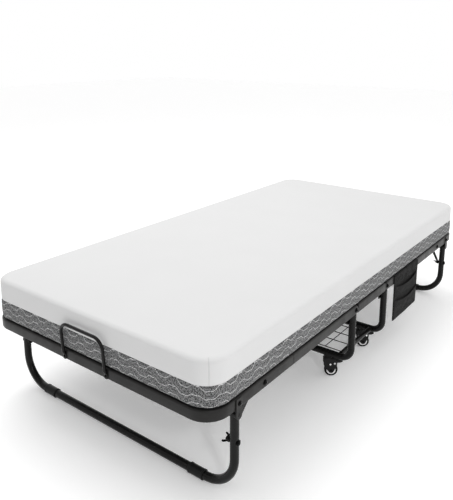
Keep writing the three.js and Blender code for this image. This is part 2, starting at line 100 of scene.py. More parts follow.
# -------- node materials
class Graph:
    """A node material with a Principled shader, built by short calls."""

    def __init__(self, name):
        self.material = bpy.data.materials.new(name)
        self.material.use_nodes = True
        self.tree = self.material.node_tree
        self.tree.nodes.clear()
        out = self.node("ShaderNodeOutputMaterial")
        self.shader = self.node("ShaderNodeBsdfPrincipled")
        self.put(out.inputs["Surface"], self.shader.outputs[0])

    def node(self, kind, **settings):
        made = self.tree.nodes.new(kind)
        for key, value in settings.items():
            setattr(made, key, value)
        return made

    def put(self, socket, value):
        """Links a socket to another one, or gives it a plain value."""
        if isinstance(value, bpy.types.NodeSocket):
            self.tree.links.new(value, socket)
        else:
            socket.default_value = value

    def math(self, operation, a, b=0.0):
        made = self.node("ShaderNodeMath", operation=operation)
        self.put(made.inputs[0], a)
        self.put(made.inputs[1], b)
        return made.outputs[0]

    def times(self, a, b):
        return self.math("MULTIPLY", a, b)

    def plus(self, a, b):
        return self.math("ADD", a, b)

    def split(self, vector):
        made = self.node("ShaderNodeSeparateXYZ")
        self.put(made.inputs[0], vector)
        return made.outputs[0], made.outputs[1]

    def coords(self, kind="Object", scale=(1, 1, 1)):
        place = self.node("ShaderNodeTexCoord").outputs[kind]
        mapping = self.node("ShaderNodeMapping")
        self.put(mapping.inputs["Vector"], place)
        mapping.inputs["Scale"].default_value = scale
        return mapping.outputs[0]

    def noise(self, scale, detail=2.0, vector=None, rough=0.5):
        made = self.node("ShaderNodeTexNoise")
        self.put(made.inputs["Vector"], vector or self.coords())
        made.inputs["Scale"].default_value = scale
        made.inputs["Detail"].default_value = detail
        made.inputs["Roughness"].default_value = rough
        return made.outputs["Fac"]

    def range(self, value, low, high, to_low=0.0, to_high=1.0):
        """A smooth step from to_low to to_high as value goes from low to high."""
        made = self.node("ShaderNodeMapRange", interpolation_type="SMOOTHSTEP")
        self.put(made.inputs["Value"], value)
        for key, number in zip(("From Min", "From Max", "To Min", "To Max"), (low, high, to_low, to_high)):
            made.inputs[key].default_value = number
        return made.outputs["Result"]

    def mix(self, share, a, b):
        made = self.node("ShaderNodeMix", data_type="RGBA")
        self.put(made.inputs[0], share)
        self.put(made.inputs[6], a)
        self.put(made.inputs[7], b)
        return made.outputs[2]

    def bump(self, height, strength, distance, normal=None):
        made = self.node("ShaderNodeBump")
        made.inputs["Strength"].default_value = strength
        made.inputs["Distance"].default_value = distance
        self.put(made.inputs["Height"], height)
        if normal is not None:
            self.put(made.inputs["Normal"], normal)
        return made.outputs[0]

    def edges(self):
        """One where the surface is sharply convex, for rubbed edges."""
        return self.range(self.node("ShaderNodeNewGeometry").outputs["Pointiness"], 0.52, 0.6)

    def finish(self, colour, roughness, normal, **fixed):
        self.put(self.shader.inputs["Base Color"], colour)
        self.put(self.shader.inputs["Roughness"], roughness)
        self.put(self.shader.inputs["Normal"], normal)
        for key, value in fixed.items():
            self.shader.inputs[key.replace("_", " ")].default_value = value
        return self.material


def grey(level, warm=0.0):
    """A grey, tinted towards red when warm is above zero."""
    return (level * (1 + warm), level, level * (1 - warm), 1.0)


def powder_coat(name, level, rough, shine=0.18):
    """Satin powder coat: fine orange peel, faint mottling, and a lighter rubbed edge."""
    g = Graph(name)
    warm = 0.04
    mottle = g.noise(7.0, 3.0)
    speckle = g.noise(900.0, 1.0)
    base = g.mix(mottle, grey(level * 0.82, warm), grey(level * 1.2, warm))
    base = g.mix(g.times(speckle, 0.35), base, grey(level * 1.6, warm))
    rub = g.times(g.edges(), g.noise(60.0, 4.0))
    base = g.mix(rub, base, grey(level * 2.2, warm))
    roughness = g.range(g.noise(24.0, 4.0), 0.3, 0.7, rough - 0.06, rough + 0.08)
    peel = g.bump(g.noise(650.0, 2.0), 0.22, 0.0006)
    uneven = g.bump(g.noise(40.0, 2.0), 0.08, 0.002, peel)
    return g.finish(base, roughness, uneven, Specular_IOR_Level=shine)


def bare_metal(name, level, rough):
    """Plated or oiled steel with fine turning marks."""
    g = Graph(name)
    scratch = g.noise(420.0, 4.0, g.coords(scale=(1, 6, 6)))
    base = g.mix(g.noise(50.0, 3.0), grey(level * 0.8), grey(level * 1.15))
    base = g.mix(g.times(g.edges(), 0.6), base, grey(min(1.0, level * 2.0)))
    roughness = g.range(scratch, 0.3, 0.7, rough * 0.8, rough * 1.35)
    return g.finish(base, roughness, g.bump(scratch, 0.12, 0.0004), Metallic=1.0)


def moulded(name, level, rough):
    """Moulded plastic with a fine spark-eroded grain."""
    g = Graph(name)
    grain = g.noise(1500.0, 2.0)
    base = g.mix(g.noise(30.0, 3.0), grey(level * 0.85), grey(level * 1.18))
    base = g.mix(g.times(g.edges(), 0.4), base, grey(min(1.0, level * 1.9)))
    roughness = g.range(grain, 0.3, 0.7, rough - 0.05, rough + 0.07)
    return g.finish(base, roughness, g.bump(grain, 0.25, 0.0003), Specular_IOR_Level=0.2)


def rubber(name):
    """Tyre rubber, dusty where it rolls."""
    g = Graph(name)
    dust = g.range(g.noise(120.0, 5.0), 0.48, 0.75)
    base = g.mix(g.times(dust, 0.35), grey(0.004), grey(0.03, 0.05))
    roughness = g.range(g.noise(300.0, 3.0), 0.3, 0.7, 0.62, 0.85)
    pores = g.bump(g.noise(800.0, 3.0), 0.3, 0.0005)
    return g.finish(base, roughness, pores, Specular_IOR_Level=0.18)


def knit_height(g, uv, column, row):
    """The relief of knitted stitches: V-shaped loops in columns."""
    u, v = g.split(uv)
    across = g.math("ABSOLUTE", g.math("SINE", g.times(u, math.pi / column)))
    tilt = g.times(across, row * 0.7)
    along = g.math("SINE", g.times(g.plus(v, tilt), 2 * math.pi / row))
    return g.plus(g.times(along, 0.5), g.times(across, 0.7)), u, v


def grey_knit(name, period):
    """Melange jacquard knit: mixed grey yarn with thin pale wavy lines run along the band."""
    g = Graph(name)
    uv = g.coords("UV")
    stitches, u, v = knit_height(g, uv, 0.0021, 0.0016)
    hatch = g.noise(1.0, 2.0, g.coords("UV", (420, 210, 1)), 0.6)
    clump = g.noise(1.0, 1.0, g.coords("UV", (150, 210, 1)))
    yarn = g.plus(g.times(hatch, 0.75), g.times(clump, 0.25))
    flecks = g.noise(1.0, 1.0, g.coords("UV", (340, 260, 1)))
    base = g.mix(g.range(yarn, 0.42, 0.59), grey(0.014, -0.01), grey(0.25, -0.01))
    base = g.mix(g.times(g.range(flecks, 0.56, 0.7), 0.5), base, grey(0.42))
    wander = g.times(g.math("SUBTRACT", g.noise(14.0, 1.0, uv), 0.5), 0.5)
    wave = g.times(g.math("SINE", g.times(u, 2 * math.pi / period)), 0.27)
    second = g.times(g.math("SINE", g.times(u, 6 * math.pi / period)), 0.06)
    row = g.plus(g.math("DIVIDE", v, 0.0235), g.plus(g.plus(wave, second), wander))
    offset = g.math("ABSOLUTE", g.math("SUBTRACT", g.math("FRACT", row), 0.5))
    line = g.range(offset, 0.02, 0.048, 1.0, 0.0)
    dashes = g.range(g.noise(1.0, 1.0, g.coords("UV", (300, 120, 1))), 0.42, 0.54)
    side_only = g.math("LESS_THAN", v, 1.0)
    under = g.mix(g.range(yarn, 0.4, 0.6), grey(0.13), grey(0.5))
    base = g.mix(side_only, under, base)
    line = g.times(g.times(line, g.math("MAXIMUM", dashes, 0.35)), side_only)
    base = g.mix(g.times(line, 0.95), base, grey(0.8))
    height = g.plus(stitches, g.times(line, 1.2))
    rough = g.range(yarn, 0.3, 0.7, 0.86, 0.98)
    return g.finish(base, rough, g.bump(height, 0.55, 0.0006), Specular_IOR_Level=0.2, Sheen_Weight=0.12)


def white_knit(name, seam_u):
    """Fine white stretch knit, with one sewn join across it at seam_u."""
    g = Graph(name)
    uv = g.coords("UV")
    stitches, u, _ = knit_height(g, uv, 0.0016, 0.0012)
    cloud = g.noise(5.0, 3.0)
    base = g.mix(cloud, grey(0.625), grey(0.655))
    pile = g.noise(700.0, 2.0)
    base = g.mix(g.times(pile, 0.25), base, grey(0.6))
    away = g.math("ABSOLUTE", g.math("SUBTRACT", u, seam_u))
    join = g.range(away, 0.0006, 0.0017, 1.0, 0.0)
    base = g.mix(g.times(join, 0.28), base, grey(0.36))
    soft = g.bump(g.noise(11.0, 3.0), 0.1, 0.006)
    fine = g.bump(stitches, 0.22, 0.0004, soft)
    sunk = g.bump(g.times(join, -1.0), 0.6, 0.001, fine)
    rough = g.range(pile, 0.3, 0.7, 0.86, 0.97)
    return g.finish(base, rough, sunk, Specular_IOR_Level=0.15, Sheen_Weight=0.06)


def bag_cloth(name, level=0.005):
    """Plain woven polyester with slight rubbing."""
    g = Graph(name)
    u, v = g.split(g.coords("UV"))
    warp = g.math("SINE", g.times(u, 2 * math.pi / 0.0011))
    weft = g.math("SINE", g.times(v, 2 * math.pi / 0.0011))
    weave = g.times(warp, weft)
    base = g.mix(g.range(weave, -1.0, 1.0), grey(level * 0.7, 0.03), grey(level * 1.3, 0.03))
    rubbed = g.times(g.range(g.noise(18.0, 4.0), 0.45, 0.8), 0.4)
    base = g.mix(rubbed, base, grey(level * 2.2, 0.03))
    crease = g.bump(g.noise(26.0, 3.0), 0.25, 0.004)
    rough = g.range(g.noise(60.0, 3.0), 0.3, 0.7, 0.7, 0.88)
    woven = g.bump(weave, 0.4, 0.0003, crease)
    return g.finish(base, rough, woven, Specular_IOR_Level=0.13, Sheen_Weight=0.02)


def floor_paint(name):
    """Pale seamless studio floor."""
    g = Graph(name)
    base = g.mix(g.noise(1.5, 2.0), grey(0.9), grey(0.93))
    rough = g.range(g.noise(9.0, 2.0), 0.3, 0.7, 0.7, 0.85)
    grain = g.bump(g.noise(300.0), 0.02, 0.001)
    return g.finish(base, rough, grain, Emission_Color=(1, 1, 1, 1), Emission_Strength=0.18)


# -------- mesh building
def finished(name, bm, look, body, replaces=(), bevel=0.0, sharp=35):
    """Turns a bmesh into a named piece with a look, a (material, slot) pair, that rides on a body."""
    material, slot = look
    bmesh.ops.recalc_face_normals(bm, faces=bm.faces)
    mesh = bpy.data.meshes.new(name)
    bm.to_mesh(mesh)
    bm.free()
    mesh.polygons.foreach_set("use_smooth", [True] * len(mesh.polygons))
    mesh.set_sharp_from_angle(angle=math.radians(sharp))
    mesh.materials.append(material)
    piece = bpy.data.objects.new(name, mesh)
    bpy.context.scene.collection.objects.link(piece)
    if bevel:
        edge = piece.modifiers.new("soft_edges", "BEVEL")
        edge.width = bevel
        edge.segments = 2
        edge.limit_method = "ANGLE"
        edge.angle_limit = math.radians(sharp)
    if body:
        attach(piece, body)
    if replaces:
        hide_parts(*replaces)
    return piece


def skin(bm, rows, caps=True):
    """Joins rings of equal length with quads."""
    count = len(rows[0])
    for low, high in zip(rows, rows[1:]):
        for j in range(count):
            k = (j + 1) % count
            bm.faces.new((low[j], low[k], high[k], high[j]))
    if caps:
        bm.faces.new(rows[0][::-1])
        bm.faces.new(rows[-1])


def sweep(bm, path, ring_at, normal):
    """Carries rings of (side, normal) offsets along a path of (point, tangent) pairs in one plane."""
    rows = []
    for i, (point, tangent) in enumerate(path):
        side = tangent.cross(normal).normalized()
        rows.append([bm.verts.new(point + side * a + normal * b) for a, b in ring_at(i)])
    skin(bm, rows)


def circle(radius, sides):
    """A ring of (a, b) offsets."""
    angles = [2 * math.pi * (k + 0.5) / sides for k in range(sides)]
    return [(radius * math.cos(a), radius * math.sin(a)) for a in angles]


def round_box_ring(half_a, half_b, radius, steps=4):
    """A rectangle's ring of (a, b) offsets, with rounded corners."""
    ring = []
    for k, (a, b) in enumerate(((1, 1), (-1, 1), (-1, -1), (1, -1))):
        for i in range(steps + 1):
            turn = math.pi / 2 * (k + i / steps)
            along_a = a * (half_a - radius) + radius * math.cos(turn)
            along_b = b * (half_b - radius) + radius * math.sin(turn)
            ring.append((along_a, along_b))
    return ring


def bent_path(corners, bend, steps):
    """Stations (point, tangent) along straight runs with round bends at the inner corners."""
    points = [Vector(c) for c in corners]
    heads = [(b - a).normalized() for a, b in zip(points, points[1:])]
    path = [(points[0], heads[0])]
    for point, before, after in zip(points[1:-1], heads, heads[1:]):
        turn = before.angle(after)
        start = point - before * bend * math.tan(turn / 2)
        inward = (after - before * after.dot(before)).normalized()
        centre = start + inward * bend
        for k in range(steps + 1):
            a = turn * k / steps
            where = centre - inward * bend * math.cos(a) + before * bend * math.sin(a)
            path.append((where, before * math.cos(a) + inward * math.sin(a)))
    path.append((points[-1], heads[-1]))
    return path


def tube(bm, corners, bend, radius, normal, sides=20, steps=10):
    """A round tube along straight runs, with round bends."""
    ring = circle(radius, sides)
    sweep(bm, bent_path(corners, bend, steps), lambda i: ring, normal)


def wire(bm, start, end):
    """A straight wire with slightly rounded ends."""
    start, end = Vector(start), Vector(end)
    tangent = (end - start).normalized()
    ring, small = circle(WIRE, 8), circle(WIRE * 0.6, 8)
    inset = tangent * WIRE * 0.5
    path = [(start, tangent), (start + inset, tangent), (end - inset, tangent), (end, tangent)]
    sweep(bm, path, lambda i: small if i in (0, 3) else ring, Z)


def lathe(bm, profile, origin, axis, sides=28, closed=False):
    """Turns (radius, along) pairs about an axis. closed joins the last pair to the first."""
    origin, axis = Vector(origin), Vector(axis).normalized()
    u = axis.orthogonal().normalized()
    v = axis.cross(u)
    rows = []
    for radius, along in profile:
        if radius < 1e-6:
            rows.append([bm.verts.new(origin + axis * along)])
            continue
        angles = [2 * math.pi * k / sides for k in range(sides)]
        offsets = [u * math.cos(a) * radius + v * math.sin(a) * radius for a in angles]
        rows.append([bm.verts.new(origin + axis * along + o) for o in offsets])
    pairs = list(zip(rows, rows[1:]))
    if closed:
        pairs.append((rows[-1], rows[0]))
    for low, high in pairs:
        for j in range(sides):
            k = (j + 1) % sides
            if len(low) == 1:
                bm.faces.new((low[0], high[k], high[j]))
            elif len(high) == 1:
                bm.faces.new((low[j], low[k], high[0]))
            else:
                bm.faces.new((low[j], low[k], high[k], high[j]))


def plate(bm, outline, origin, a, b, thickness):
    """A flat plate: outline points on axes a and b from origin, thickened along their cross product."""
    origin = Vector(origin)
    up = a.cross(b).normalized() * thickness
    low = [bm.verts.new(origin + a * p + b * q) for p, q in outline]
    high = [bm.verts.new(v.co + up) for v in low]
    skin(bm, [low, high])


def arc(cx, cy, radius, start, end, steps):
    """Points along an arc, angles in degrees."""
    angles = [math.radians(start + (end - start) * k / steps) for k in range(steps + 1)]
    return [(cx + radius * math.cos(t), cy + radius * math.sin(t)) for t in angles]


def dome_bolt(bm, where, axis, radius, height, washer=0.0012):
    """A domed bolt head on a washer, with a drive recess."""
    profile = [(0, -0.0004), (radius, -0.0004), (radius, washer), (radius * 0.82, washer)]
    for k in range(1, 6):
        t = k / 6 * math.pi / 2
        profile.append((radius * 0.82 * math.cos(t), washer + (height - washer) * math.sin(t)))
    profile += [(radius * 0.22, height * 0.97), (radius * 0.2, height * 0.55), (0, height * 0.55)]
    lathe(bm, profile, where, axis)


def in_mm(points):
    """Pairs given in millimetres, turned into metres."""
    return [(p * MM, q * MM) for p, q in points]


# -------- looks in use: a material and a slot name
RAIL_PAINT = (powder_coat("rail_powder_coat", 0.011, 0.38, 0.2), "rail_paint")
FRAME_PAINT = (powder_coat("tube_powder_coat", 0.0045, 0.22), "tube_paint")
WIRE_PAINT = (powder_coat("wire_coat", 0.004, 0.36), "wire_paint")
BLACK_STEEL = (bare_metal("black_oxide_steel", 0.008, 0.16), "bolt_steel")
CHROME = (bare_metal("bright_zinc", 0.9, 0.3), "bolt_steel")
PLASTIC = (moulded("black_nylon", 0.006, 0.38), "plastic")
RIM_PLASTIC = (moulded("pale_rim", 0.78, 0.35), "plastic")
TYRE_RUBBER = (rubber("tyre_rubber"), "tyre")
BAND_HALF = FOAM_X * 2 + FOAM_Y * 2 - 4 * FOAM_CORNER * (1 - math.pi / 4)
GREY_KNIT = (grey_knit("melange_knit", BAND_HALF * 2 / 76), "grey_knit")
COVER_JOIN = -(FOAM_X - FOAM_CORNER * 0.18)
WHITE_KNIT = (white_knit("white_stretch_knit", COVER_JOIN), "white_knit")
BAG_CLOTH = (bag_cloth("bag_polyester"), "black_cloth")
BINDING = (bag_cloth("bag_binding", 0.002), "black_cloth")


# -------- rails
def rail_ring(half_height):
    """The rail's section."""
    round_off = min(RAIL_ROUND, half_height * 0.8)
    return round_box_ring(RAIL_WIDTH / 2, half_height, round_off)


def rail_end(sign_y, sign_x):
    """Stations from the round nose at the hinge to the seam, on one side."""
    y = sign_y * RAIL_Y
    stations, halves = [], []
    for k in range(9):
        a = math.pi / 2 * k / 8
        x = HINGE_X - RAIL_HALF * math.cos(a)
        stations.append((Vector((sign_x * x, y, RAIL_Z)), X * sign_x))
        halves.append(max(RAIL_HALF * math.sin(a), 0.001))
    stations.append((Vector((sign_x * (SEAM_X - SEAM_GAP / 2), y, RAIL_Z)), X * sign_x))
    halves.append(RAIL_HALF)
    return stations, halves


def deck_rail(end, s):
    """The U-shaped rail: two straight pieces and a bent end piece, sleeved together at the seams."""
    bm = bmesh.new()
    inner = round_box_ring(RAIL_WIDTH / 2 - 0.0012, RAIL_HALF - 0.0012, 0.003)
    for side in (1, -1):
        stations, halves = rail_end(side, s)
        sweep(bm, stations, lambda i, h=halves: rail_ring(h[i]), Z)
        sleeve = [(Vector((s * x, side * RAIL_Y, RAIL_Z)), X * s) for x in (SEAM_X - 0.03, SEAM_X + 0.03)]
        sweep(bm, sleeve, lambda i: inner, Z)
    near, far = s * (SEAM_X + SEAM_GAP / 2), s * (HALF_LENGTH - RAIL_WIDTH / 2)
    turns = [(near, -RAIL_Y), (far, -RAIL_Y), (far, RAIL_Y), (near, RAIL_Y)]
    ring = rail_ring(RAIL_HALF)
    path = bent_path([(x, y, RAIL_Z) for x, y in turns], CORNER - RAIL_WIDTH / 2, 14)
    sweep(bm, path, lambda i: ring, Z)
    finished(f"{end}_deck_rail", bm, RAIL_PAINT, f"{end}_deck", [f"{end}_deck_frame"])


def centre_rail(side, s):
    """The straight rail of the centre section, with softened ends."""
    bm = bmesh.new()
    reach, soft_end = HINGE_X - RAIL_HALF - 0.0006, 0.0015
    soft, full = rail_ring(RAIL_HALF - soft_end), rail_ring(RAIL_HALF)
    xs = (-reach, -reach + soft_end, reach - soft_end, reach)
    path = [(Vector((x, s * RAIL_Y, RAIL_Z)), X) for x in xs]
    sweep(bm, path, lambda i: soft if i in (0, 3) else full, Z)
    finished(f"centre_side_rail_{side}", bm, RAIL_PAINT, "centre", [f"centre_rail_{side}"])


# -------- centre legs and shelf
def hinge_plate_outline(s):
    """The inner hinge plate in X and Z: behind the rail, with a tab down the leg."""
    lower, upper = RAIL_BOTTOM, RAIL_TOP - 0.0005
    points = [(15, upper), (-52, upper), (-52, lower + 0.004), (-15, lower - 0.012)]
    points += [(-15, lower - 0.04), (15, lower - 0.04)]
    return [(s * HINGE_X + s * p * MM, z) for p, z in points]


def centre_leg(end, s):
    """The centre U leg with its hinge plates, weld beads and caster sockets."""
    bm = bmesh.new()
    x = s * HINGE_X
    top = RAIL_BOTTOM - 0.001
    corners = [(x, TUBE_Y, top), (x, TUBE_Y, CENTRE_Z), (x, -TUBE_Y, CENTRE_Z), (x, -TUBE_Y, top)]
    tube(bm, corners, CENTRE_BEND, TUBE, X)
    beads = ([(0, -0.001), (0.006, 0), (0, 0.004)], [(0, -0.003), (0.0075, 0), (0, 0.003)])
    socket = [(0, 0.0775), (0.0125, 0.0775), (0.014, 0.079), (0.014, 0.0905), (0.0135, 0.092)]
    for side in (1, -1):
        y = side * (RAIL_INNER - CLEAR)
        plate(bm, hinge_plate_outline(s), (0, max(y, y - side * 0.004), 0), X, Z, 0.004)
        for k in range(4):
            where = (x, side * (LEG_INNER + 0.001), RAIL_BOTTOM - 0.034 + k * 0.008)
            lathe(bm, beads[k % 2], where, Z, 12)
        lathe(bm, socket, (x, side * CASTER_Y, 0), Z)
    finished(f"centre_leg_tube_{end}", bm, FRAME_PAINT, "centre", [f"centre_leg_{end}"], 0.0005)


def hinge_bolts(end, s):
    """The hinge bolts: domed heads outside, nuts inside."""
    nut = [(0, 0), (0.008, 0), (0.008, 0.004), (0.0065, 0.0052), (0, 0.0052)]
    x = s * HINGE_X
    for side, t in SIDES:
        bm = bmesh.new()
        dome_bolt(bm, (x, t * BOLT_FACE, RAIL_Z), Y * t, 0.0095, 0.0056)
        lathe(bm, nut, (x, t * (RAIL_INNER - 0.0046), RAIL_Z), Y * -t, 6)
        finished(f"hinge_rivet_{end}_{side}", bm, BLACK_STEEL, "centre", [f"hinge_bolt_{end}_{side}"], 0.0004)


def shelf():
    """The side tubes between the centre legs, and the wires on top."""
    z = CENTRE_Z + TUBE - SHELF_TUBE
    reach = HINGE_X - TUBE - CLEAR
    for side, s in SIDES:
        bm = bmesh.new()
        tube(bm, [(-reach, s * SHELF_Y, z), (reach, s * SHELF_Y, z)], 0.01, SHELF_TUBE, Z)
        finished(f"shelf_side_tube_{side}", bm, FRAME_PAINT, "centre", [f"shelf_tube_{side}"], 0.0006)
    bm = bmesh.new()
    low = CENTRE_Z + TUBE + CLEAR + WIRE
    high = low + 2 * WIRE - WIRE_SINK
    for i in range(-2, 3):
        wire(bm, (i * 0.063, -SHELF_Y, low), (i * 0.063, SHELF_Y, low))
    for k in range(-5, 6):
        wire(bm, (-0.133, k * 0.0712, high), (0.133, k * 0.0712, high))
    finished("shelf_wires", bm, WIRE_PAINT, "centre", ["shelf_grid"])


# -------- decks
def crossbars(end, s):
    """The wide bar at the hinge and the narrow one at the middle."""
    reach = RAIL_INNER - CLEAR
    for name, start, stop in (("hinge", 0.161, 0.216), ("mid", 0.49, 0.52)):
        bm = bmesh.new()
        ring = round_box_ring((stop - start) / 2, BAR_HALF, 0.0025)
        path = [(Vector((s * (start + stop) / 2, y, RAIL_Z)), Y) for y in (-reach, reach)]
        sweep(bm, path, lambda i: ring, Z)
        finished(f"{end}_{name}_bar", bm, FRAME_PAINT, f"{end}_deck", [f"{end}_{name}_crossbar"])


def deck_wires(end, s):
    """The deck's grid: wires across it, and wires along it on top."""
    bm = bmesh.new()
    low = RAIL_Z + BAR_HALF + CLEAR + WIRE
    high = low + 2 * WIRE - WIRE_SINK
    reach = RAIL_INNER - CLEAR
    for k in range(-4, 5):
        wire(bm, (s * 0.163, k * 0.095, high), (s * 0.9247, k * 0.095, high))
    for i in range(8):
        x = s * (0.865 - 0.09 * i)
        wire(bm, (x, -reach, low), (x, reach, low))
    finished(f"{end}_deck_wires", bm, WIRE_PAINT, f"{end}_deck", [f"{end}_deck_grid"])


def hoop(end, s):
    """The mattress keeper: a bent rod whose flattened feet are screwed to the end rail."""
    bm = bmesh.new()
    foot_x, top_x, top, wide = s * 0.9556, s * 0.962, 0.397, 0.092
    foot = RAIL_BOTTOM + 0.026
    corners = [(foot_x, wide, foot), (top_x, wide, top), (top_x, -wide, top), (foot_x, -wide, foot)]
    tube(bm, corners, 0.033, 0.005, X, 16)
    turns = [math.pi * k / 8 for k in range(16)]
    stations = [(0.005, 0.005, 0), (0.0062, 0.0036, 0.006), (0.008, 0.0017, 0.011)]
    stations += [(0.008, 0.0016, 0.021), (0.0062, 0.0016, 0.0236)]
    for side in (1, -1):
        rows = []
        for across, depth, below in stations:
            x = s * (HALF_LENGTH + CLEAR + depth) if depth < 0.004 else foot_x
            ring = [(x + depth * math.cos(t), side * wide + across * math.sin(t)) for t in turns]
            rows.append([bm.verts.new((*p, foot - below)) for p in ring])
        skin(bm, rows)
    finished(f"{end}_keeper_hoop", bm, FRAME_PAINT, f"{end}_deck", [f"{end}_mattress_hoop"])
    bm = bmesh.new()
    for side in (1, -1):
        where = (s * (HALF_LENGTH + 0.0033), side * wide, foot - 0.0155)
        dome_bolt(bm, where, X * s, 0.0048, 0.0032, 0.0006)
    finished(f"{end}_hoop_screws", bm, BLACK_STEEL, f"{end}_deck")


# -------- end legs
def bracket_outline(s, top):
    """A bracket's flange in X and Z, round below the leg's pin."""
    x = s * LEG_X
    low = arc(x, LEG_PIVOT_Z, BRACKET_HALF, 180, 360, 12)
    return low + [(x + BRACKET_HALF, top), (x - BRACKET_HALF, top)]


def leg_bracket(end, s, side, t):
    """The channel around the leg's end, with its bolt, nut and pin."""
    bm = bmesh.new()
    x, under = s * LEG_X, RAIL_BOTTOM - CLEAR
    outer, inner = t * (HALF_WIDTH + CLEAR), t * (LEG_INNER - 0.0033)
    for y, top in ((outer, RAIL_TOP - 0.001), (inner, under - 0.0005)):
        origin = (0, max(y, y + t * BRACKET_PLATE), 0)
        plate(bm, bracket_outline(s, top), origin, X, Z, BRACKET_PLATE)
    y0, y1 = sorted((inner, outer + t * BRACKET_PLATE))
    left, right = x - BRACKET_HALF, x + BRACKET_HALF
    web = [(left, y0), (right, y0), (right, y1), (left, y1)]
    plate(bm, web, (0, 0, under - 0.0026), X, Y, 0.0026)
    deck, node = f"{end}_deck", f"{end}_leg_bracket_{side}"
    finished(f"{end}_leg_channel_{side}", bm, RAIL_PAINT, deck, [node], 0.0007)
    bm = bmesh.new()
    bolt_x, face = x - s * 0.002, t * (HALF_WIDTH + 0.0032)
    dome_bolt(bm, (bolt_x, face, RAIL_Z), Y * t, 0.008, 0.0042)
    pin = [(0, 0), (0.0052, 0), (0.0048, 0.0004), (0, 0.0006)]
    lathe(bm, pin, (x, face, LEG_PIVOT_Z), Y * t)
    nut = [(0, 0), (0.007, 0), (0.007, 0.0033), (0, 0.0033)]
    lathe(bm, nut, (bolt_x, t * (RAIL_INNER - CLEAR), RAIL_Z), Y * -t, 6)
    finished(f"{end}_channel_bolts_{side}", bm, BLACK_STEEL, deck, (), 0.0003)


def end_leg(end, s):
    """The folding U leg with its pivot barrels, spacers and bolts."""
    bm = bmesh.new()
    x, half = s * LEG_X, TUBE - CLEAR
    turns = [(TUBE_Y, LEG_PIVOT_Z), (TUBE_Y, LEG_FLOOR_Z), (-TUBE_Y, LEG_FLOOR_Z), (-TUBE_Y, LEG_PIVOT_Z)]
    tube(bm, [(x, y, z) for y, z in turns], LEG_BEND, TUBE, X, 24, 16)
    barrel = [(0, -half), (TUBE * 0.9, -half), (TUBE - 0.0002, -half + 0.0014)]
    barrel += [(r, -a) for r, a in barrel[::-1]]
    spacer = [(0, 0), (0.007, 0), (0.007, 0.0036), (0, 0.0036)]
    for side in (1, -1):
        lathe(bm, barrel, (x, side * TUBE_Y, LEG_PIVOT_Z), Y, 24)
        lathe(bm, spacer, (x, side * (LEG_INNER + 0.0002), LEG_BOLT_Z), Y * -side, 20)
    leg = f"{end}_leg"
    finished(f"{end}_leg_tube", bm, FRAME_PAINT, leg, [leg], 0.0004)
    bm = bmesh.new()
    for side in (1, -1):
        dome_bolt(bm, (x, side * (HALF_WIDTH - 0.0004), LEG_BOLT_Z), Y * side, 0.0095, 0.0052, 0.001)
        where = (x, side * (LEG_INNER + 0.0005), LEG_BOLT_Z)
        lathe(bm, thread_profile(0.0155, 0.0035), where, Y * -side, 14)
    finished(f"{end}_leg_bolts", bm, BLACK_STEEL, leg)


def thread_profile(length, radius):
    """A bolt's free end with its thread crests."""
    pitch = 0.0012
    profile = [(radius, 0.0)]
    for k in range(int(length / pitch)):
        profile += [(radius, k * pitch + 0.0003), (radius * 0.88, k * pitch + 0.0009)]
    profile += [(radius * 0.8, length), (0.0, length + 0.0004)]
    return profile


def floor_sleeve(end, s, side, t):
    """The plastic glide: a sleeve with raised rims."""
    bm = bmesh.new()
    length, inner, outer = 0.053, TUBE + 0.0002, 0.0158
    profile = [(inner, 0), (outer - 0.0006, 0), (outer, 0.0006), (outer, 0.005), (outer - 0.0007, 0.0058)]
    profile += [(r, length - a) for r, a in profile[::-1]]
    lathe(bm, profile, (s * LEG_X, t * 0.305, LEG_FLOOR_Z), Y * t, 32, closed=True)
    finished(f"{end}_floor_glide_{side}", bm, PLASTIC, f"{end}_leg", [f"{end}_floor_sleeve_{side}"])


def brace(end, s, side, t):
    """A flat strut with a stiffening rib, hooked over the leg bolt and riveted to the rail."""
    bm = bmesh.new()
    pivot, hook = Vector((s * BRACE_X, RAIL_Z)), Vector((s * LEG_X, LEG_BOLT_Z))
    length = (hook - pivot).length
    along = (hook - pivot) / length
    across = Vector((-along.y, along.x))
    exit_way = (Vector((along.y, -along.x)) * s - along * 0.44).normalized()
    notch_way = (exit_way.dot(along), exit_way.dot(across))
    right, up = Vector((along.x, 0, along.y)), Vector((across.x, 0, across.y))
    outwards = right.cross(up).y * t > 0
    inner, outer = BRACE_FACES
    outline = outline_with_notch(length, BRACE_HALF, BRACE_SLOT, notch_way)
    origin = (pivot.x, t * (inner if outwards else outer), pivot.y)
    plate(bm, outline, origin, right, up, outer - inner)
    start, stop, half, depth = 0.02, length - 0.024, 0.0034, 0.0022
    rib = [(start, -half), (stop, -half), (stop + 0.003, 0), (stop, half), (start, half), (start - 0.003, 0)]
    origin = (pivot.x, t * (inner - depth if outwards else inner), pivot.y)
    plate(bm, rib, origin, right, up, depth)
    name = f"{end}_brace_{side}"
    finished(f"{end}_strut_{side}", bm, FRAME_PAINT, name, [name], 0.0006)
    bm = bmesh.new()
    dome_bolt(bm, (pivot.x, t * BOLT_FACE, pivot.y), Y * t, 0.0095, 0.0052)
    tail = [(0, 0), (0.0065, 0), (0.0065, 0.0024), (0, 0.0029)]
    lathe(bm, tail, (pivot.x, t * inner, pivot.y), Y * -t, 20)
    lathe(bm, [(0.0039, 0), (0.0039, 0.0045)], (pivot.x, t * (outer - 0.0003), pivot.y), Y * t, 16)
    finished(f"{end}_strut_rivet_{side}", bm, BLACK_STEEL, name)


